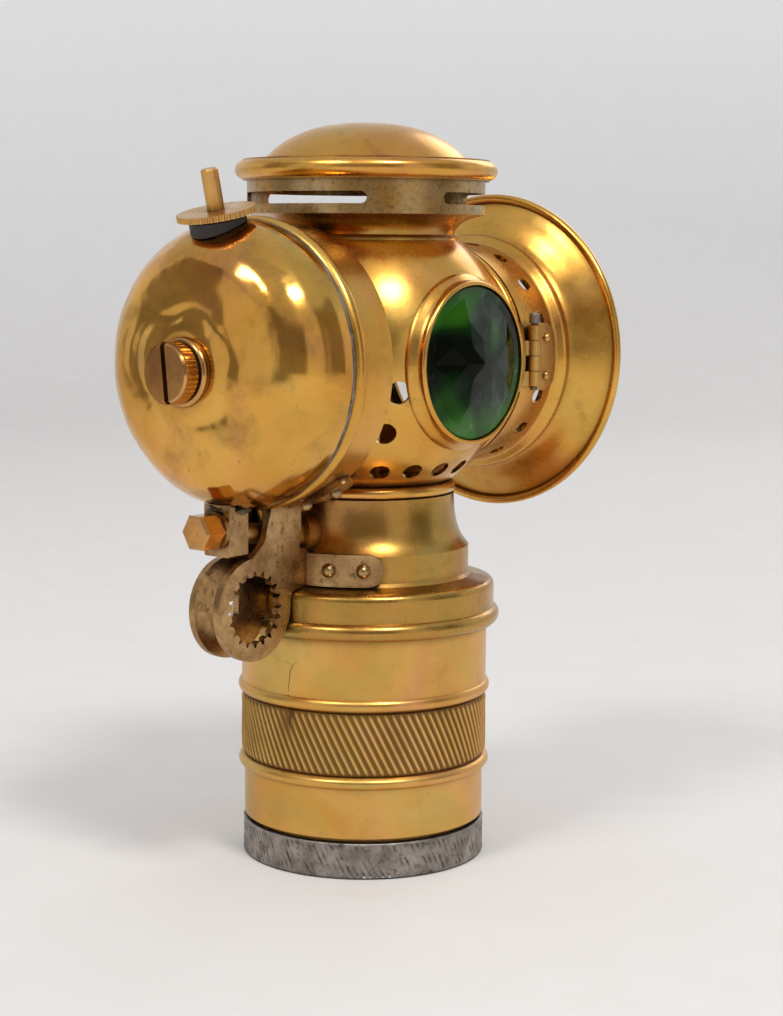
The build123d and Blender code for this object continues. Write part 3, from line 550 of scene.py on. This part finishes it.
def tank_seam(material):
    """The run of solder round the tank, lumpy and uneven."""
    low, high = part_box("tank_seam")
    front, rear, outer, inner = low.y / MM, high.y / MM, high.x / MM, 27.75

    def lump(turn, radius, height):
        if radius < outer - 0.6:
            return radius, height
        swell = noise.noise((math.cos(turn) * 9, math.sin(turn) * 9, height * 1.5))
        fine = noise.noise((math.cos(turn) * 40, math.sin(turn) * 40, height * 3))
        return outer - 0.16 + 0.12 * swell + 0.04 * fine, height

    profile = [(inner, front), (outer, front), (outer, front + 0.3), (outer, rear - 0.3), (outer, rear),
               (inner, rear)]
    piece = lathe("tank_seam_solder", profile, 360, material, place=ALONG_Y, shape=lump, sharp=70)
    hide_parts("tank_seam")
    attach(piece, "lamp_body")


def jewel(name, side, material):
    """A rose-cut jewel: three tiers of flat facets over a round flat girdle; side is its sign along x."""
    low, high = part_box(f"{name}_jewel")
    back, tip = (high.x / MM, low.x / MM) if side < 0 else (low.x / MM, high.x / MM)
    centre_z = (low.z + high.z) / 2 / MM
    radius = (high.y - low.y) / 2 / MM
    rise = abs(tip) - abs(back)
    steps, cuts = 48, 8
    per_cut = steps // cuts

    def ring(height, ring_radius, points, shift=0.0):
        turns = [2 * math.pi * (i + shift) / points for i in range(points)]
        return [(height, ring_radius * math.cos(turn), ring_radius * math.sin(turn)) for turn in turns]

    verts = ring(0.0, radius, steps)
    verts += ring(rise * 0.26, radius, steps)
    verts += ring(rise * 0.32, radius - 0.35, steps)
    girdle = len(verts)
    verts += ring(rise * 0.36, radius * 0.862, steps)
    middle = len(verts)
    verts += ring(rise * 0.68, radius * 0.60, cuts, 0.5)
    inner = len(verts)
    verts += ring(rise * 0.88, radius * 0.30, cuts)
    crown = len(verts)
    verts.append((rise, 0, 0))

    faces = []
    for start in range(0, girdle, steps):
        for i in range(steps):
            j = (i + 1) % steps
            faces.append((start + i, start + j, start + steps + j, start + steps + i))
    faces.append(tuple(reversed(range(steps))))
    for i in range(cuts):
        j, k = (i + 1) % cuts, (i - 1) % cuts
        edge = [girdle + (i * per_cut + n) % steps for n in range(per_cut + 1)]
        faces.append((*edge[:4], middle + i))
        faces.append((*edge[3:], middle + i))
        faces.append((edge[0], middle + i, inner + i, middle + k))
        faces.append((middle + i, inner + j, inner + i))
        faces.append((inner + i, inner + j, crown))
    if side > 0:
        faces = [tuple(reversed(face)) for face in faces]

    placed = [((back + side * x) * MM, y * MM, (centre_z + z) * MM) for x, y, z in verts]
    piece = new_piece(f"{name}_jewel_cut", placed, faces, material, smooth=False)
    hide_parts(f"{name}_jewel")
    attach(piece, "lamp_body")


# ---------------------------------------------------------------- wear and repairs
def strip_on_drum(name, radius, path, widths, lift, material, body):
    """A thin irregular strip lying on an upright drum; path is (turn in degrees, height in millimetres)."""
    sunk = -0.05
    verts, faces = [], []
    for (turn, height), width in zip(path, widths):
        for side, out in ((-1, sunk), (-0.5, lift), (0.5, lift), (1, sunk)):
            angle = math.radians(turn) + side * width / 2 / radius
            outward = Vector((math.cos(angle), math.sin(angle), 0))
            verts.append(outward * (radius + out) * MM + UP * height * MM)
    for i in range(len(path) - 1):
        for k in range(3):
            a = i * 4 + k
            faces.append((a, a + 4, a + 5, a + 1))
        faces.append((i * 4 + 3, i * 4 + 7, i * 4 + 4, i * 4))
    last = (len(path) - 1) * 4
    faces += [(0, 1, 2, 3), (last + 3, last + 2, last + 1, last)]
    piece = new_piece(name, verts, faces, material)
    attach(piece, body)


def lump(name, centre, sizes, material, body, slot, seed=0.0, wobble=0.35):
    """A blob of solder with an uneven skin; centre and half sizes in millimetres."""
    verts, faces = [], []
    rings, steps = 14, 20
    for ring in range(rings + 1):
        polar = math.pi * ring / rings
        for step in range(steps):
            turn = 2 * math.pi * step / steps
            flat = math.sin(polar)
            way = Vector((flat * math.cos(turn), flat * math.sin(turn), math.cos(polar)))
            swell = 1 + wobble * noise.noise(way * 1.7 + Vector((seed, 0, seed)))
            swell += 0.4 * wobble * noise.noise(way * 4.5 + Vector((0, seed, 0)))
            verts.append(Vector(centre) * MM + Vector([w * s * MM * swell for w, s in zip(way, sizes)]))
    for ring in range(rings):
        for step in range(steps):
            a, b = ring * steps + step, ring * steps + (step + 1) % steps
            faces.append((a, b, b + steps, a + steps))
    piece = new_piece(name, verts, faces, material, sharp=70)
    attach(piece, body)


def wear_and_repairs(dark, solder):
    """The crack above and through the grip band, and the solder round the block and at the strap."""
    chamber_r, ridge_r = 26.8, 26.98
    crack = [(99.6, 45.9), (97.2, 45.3), (96.0, 44.4), (95.2, 43.2), (95.0, 41.9), (94.4, 40.4), (94.6, 39.2)]
    strip_on_drum("chamber_crack", chamber_r, crack, (0.1, 0.16, 0.24, 0.2, 0.26, 0.2, 0.14), 0.02, dark,
                  "chamber")
    branch = [(96.6, 45.1), (93.6, 45.6), (90.0, 45.6), (86.0, 46.2), (82.8, 46.4)]
    strip_on_drum("chamber_crack_branch", chamber_r, branch, (0.16, 0.14, 0.14, 0.12, 0.08), 0.02, dark,
                  "chamber")
    lower = [(94.4, 38.6), (95.6, 37.2), (94.9, 36.0), (95.8, 34.4), (95.0, 32.8), (95.5, 31.6)]
    strip_on_drum("grip_crack", ridge_r, lower, (0.1, 0.3, 0.34, 0.3, 0.22, 0.1), 0.01, dark,
                  "chamber")
    lump("solder_block_rear", (0.4, 44.4, 79.4), (3.4, 2.0, 0.9), solder, "lamp_body", "solder", 1.3)
    lump("solder_block_left", (-3.0, 42.0, 79.2), (1.3, 2.4, 0.8), solder, "lamp_body", "solder", 4.1)
    lump("solder_block_front", (1.0, 39.9, 78.8), (3.0, 1.0, 0.9), solder, "lamp_body", "solder", 7.7)
    lump("solder_strap", (-8.6, 31.5, 80.9), (1.8, 1.2, 0.5), solder, "lamp_body", "solder", 9.2)


# ---------------------------------------------------------------- studio
LOOK_AT = UP * 80 * MM               # the middle of the lamp, where lights and cloths point


def around(azimuth, elevation, distance):
    """A point seen from the lamp at an azimuth to the right of the camera and an elevation, in degrees."""
    a, e = math.radians(azimuth), math.radians(elevation)
    level = TOWARD * math.cos(a) + RIGHT * math.sin(a)
    return (level * math.cos(e) + UP * math.sin(e)) * distance


def soft_light(name, azimuth, elevation, distance, size, power, colour=(1, 1, 1)):
    light = bpy.data.lights.new(name, "AREA")
    light.shape = "DISK"
    light.size = size
    light.energy = power
    light.color = colour
    holder = bpy.data.objects.new(name, light)
    holder.location = around(azimuth, elevation, distance) + LOOK_AT
    holder.rotation_euler = (LOOK_AT - holder.location).to_track_quat("-Z", "Y").to_euler()
    holder.visible_camera = False
    bpy.context.scene.collection.objects.link(holder)


def dark_panel(name, azimuth, elevation, distance, width, height, material):
    """A dark bowed cloth round the set that only the metal's reflections see."""
    middle = around(azimuth, elevation, distance) + LOOK_AT
    facing = (LOOK_AT - middle).normalized()
    side = facing.cross(UP).normalized()
    over = side.cross(facing)
    steps, bow = 8, 0.1
    verts, faces = [], []
    for i in range(steps + 1):
        for j in range(steps + 1):
            x, y = i / steps * 2 - 1, j / steps * 2 - 1
            flat = middle + side * x * width / 2 + over * y * height / 2
            verts.append(flat + facing * bow * (x * x + y * y))
    for i in range(steps):
        for j in range(steps):
            a = i * (steps + 1) + j
            faces.append((a, a + 1, a + steps + 2, a + steps + 1))
    panel = new_piece(name, verts, faces, material)
    panel.visible_camera = False
    panel.visible_diffuse = False
    panel.visible_shadow = False
    panel.visible_transmission = False


def cove():
    """Warm white paper on the floor that curves up into a wall all the way round; the wall is painted a
    brighter white than the floor, painted light standing in for the light on it.
    """
    shader = Shader("studio_floor", Roughness=0.85)
    grain = shader.noise(0.02, detail=6)
    paper = shader.ramp(grain, (0.3, (0.70, 0.672, 0.645)), (0.7, (0.72, 0.695, 0.672)))
    height = shader.tree.nodes.new("ShaderNodeSeparateXYZ")
    shader.put(height.inputs[0], shader.place)
    # painted light: the paper turns a brighter white up the wall over the first half metre of height
    wall = shader.ramp(height.outputs["Z"], (0.0, 0.0), (0.5, 1.0))
    shader.set("Base Color", shader.mix(wall, paper, (0.97, 0.97, 0.975)))
    floor_r, bend_r, wall_top, rows = 1100, 700, 1000, 24
    profile = [(0, 0), (floor_r, 0)]
    for i in range(1, rows + 1):
        bend = math.pi / 2 * i / rows
        profile.append((floor_r + bend_r * math.sin(bend), bend_r - bend_r * math.cos(bend)))
    profile.append((floor_r + bend_r, wall_top))
    lathe("studio_cove", profile, 96, shader.material, closed=False)


def dark_cloth():
    shader = Shader("dark_cloth", Roughness=0.9)
    weave = shader.noise(0.05, detail=4)
    shader.set("Base Color", shader.ramp(weave, (0.3, (0.22, 0.20, 0.18)), (0.7, (0.36, 0.33, 0.30))))
    return shader.material


def studio():
    bpy.context.scene.view_settings.view_transform = "Standard"
    world = bpy.data.worlds.new("studio")
    bpy.context.scene.world = world
    world.use_nodes = True
    sky = world.node_tree.nodes["Background"]
    sky.inputs["Color"].default_value = (0.92, 0.95, 1.0, 1)
    sky.inputs["Strength"].default_value = 0.64
    cove()
    cloth = dark_cloth()
    dark_panel("cloth_front", 0, 10, 1.15, 1.1, 0.85, cloth)
    dark_panel("cloth_right", 75, 14, 1.2, 0.7, 1.1, cloth)
    dark_panel("cloth_left", -85, 14, 1.2, 0.6, 1.1, cloth)
    warm = (1.0, 0.985, 0.96)
    soft_light("key_right", 28, 54, 1.4, 0.36, 8.2, warm)
    soft_light("key_left", -38, 50, 1.4, 0.36, 5.4, warm)
    soft_light("front_fill", 150, 30, 1.3, 0.7, 2.0)


# ---------------------------------------------------------------- put together
make_camera()
made = make_materials()
smooth_nodes()
paint(made["polished"], "body_shell", "front_ring", "green_bezel", "red_bezel", "burner_plate", "burner_stem",
      "chimney_lid", "tank_band", "tank_front_wall", "neck_ring", "gas_plate", "drip_tube",
      "bell", "lens_ring", "catch_spring", "catch_stud")
paint(made["cap"], "generator_cap", "chimney_neck")
paint(made["satin"], "carbide_chamber")
paint(made["brown"], "hinge_leaf_body", "hinge_leaf_door", "hinge_rivets", "valve_disc", "valve_spindle",
      "valve_washer", "water_tube", "tube_collar", "feed_pipe")
paint(made["copper"], "filler_boss", "filler_cap", "clean_out_screw")
paint(made["nickel"], "chimney_band", "bracket_rivets")
paint(made["bracket"], "bracket_cheek_left", "bracket_cheek_right", "clean_out_block", "clean_out_washer")
paint(made["solder"], "hinge_pin")
paint(made["rubber"], "chamber_gasket", "base_gasket", "filler_washer", "valve_bung")
paint(made["lens"], "bell_lens")
paint(made["mirror"], "reflector")
paint(made["stone"], "burner_tip")
soften_edges(("bracket_cheek_left", "bracket_cheek_right", "clean_out_block"), 0.18 * MM)
tank_dome(made["tank"])
tank_seam(made["solder"])
grip_band(made["grip"])
base_cap(made["base"])
jewel("green", -1, made["green"])
jewel("red", 1, made["red"])
wear_and_repairs(made["crack"], made["solder"])
studio()
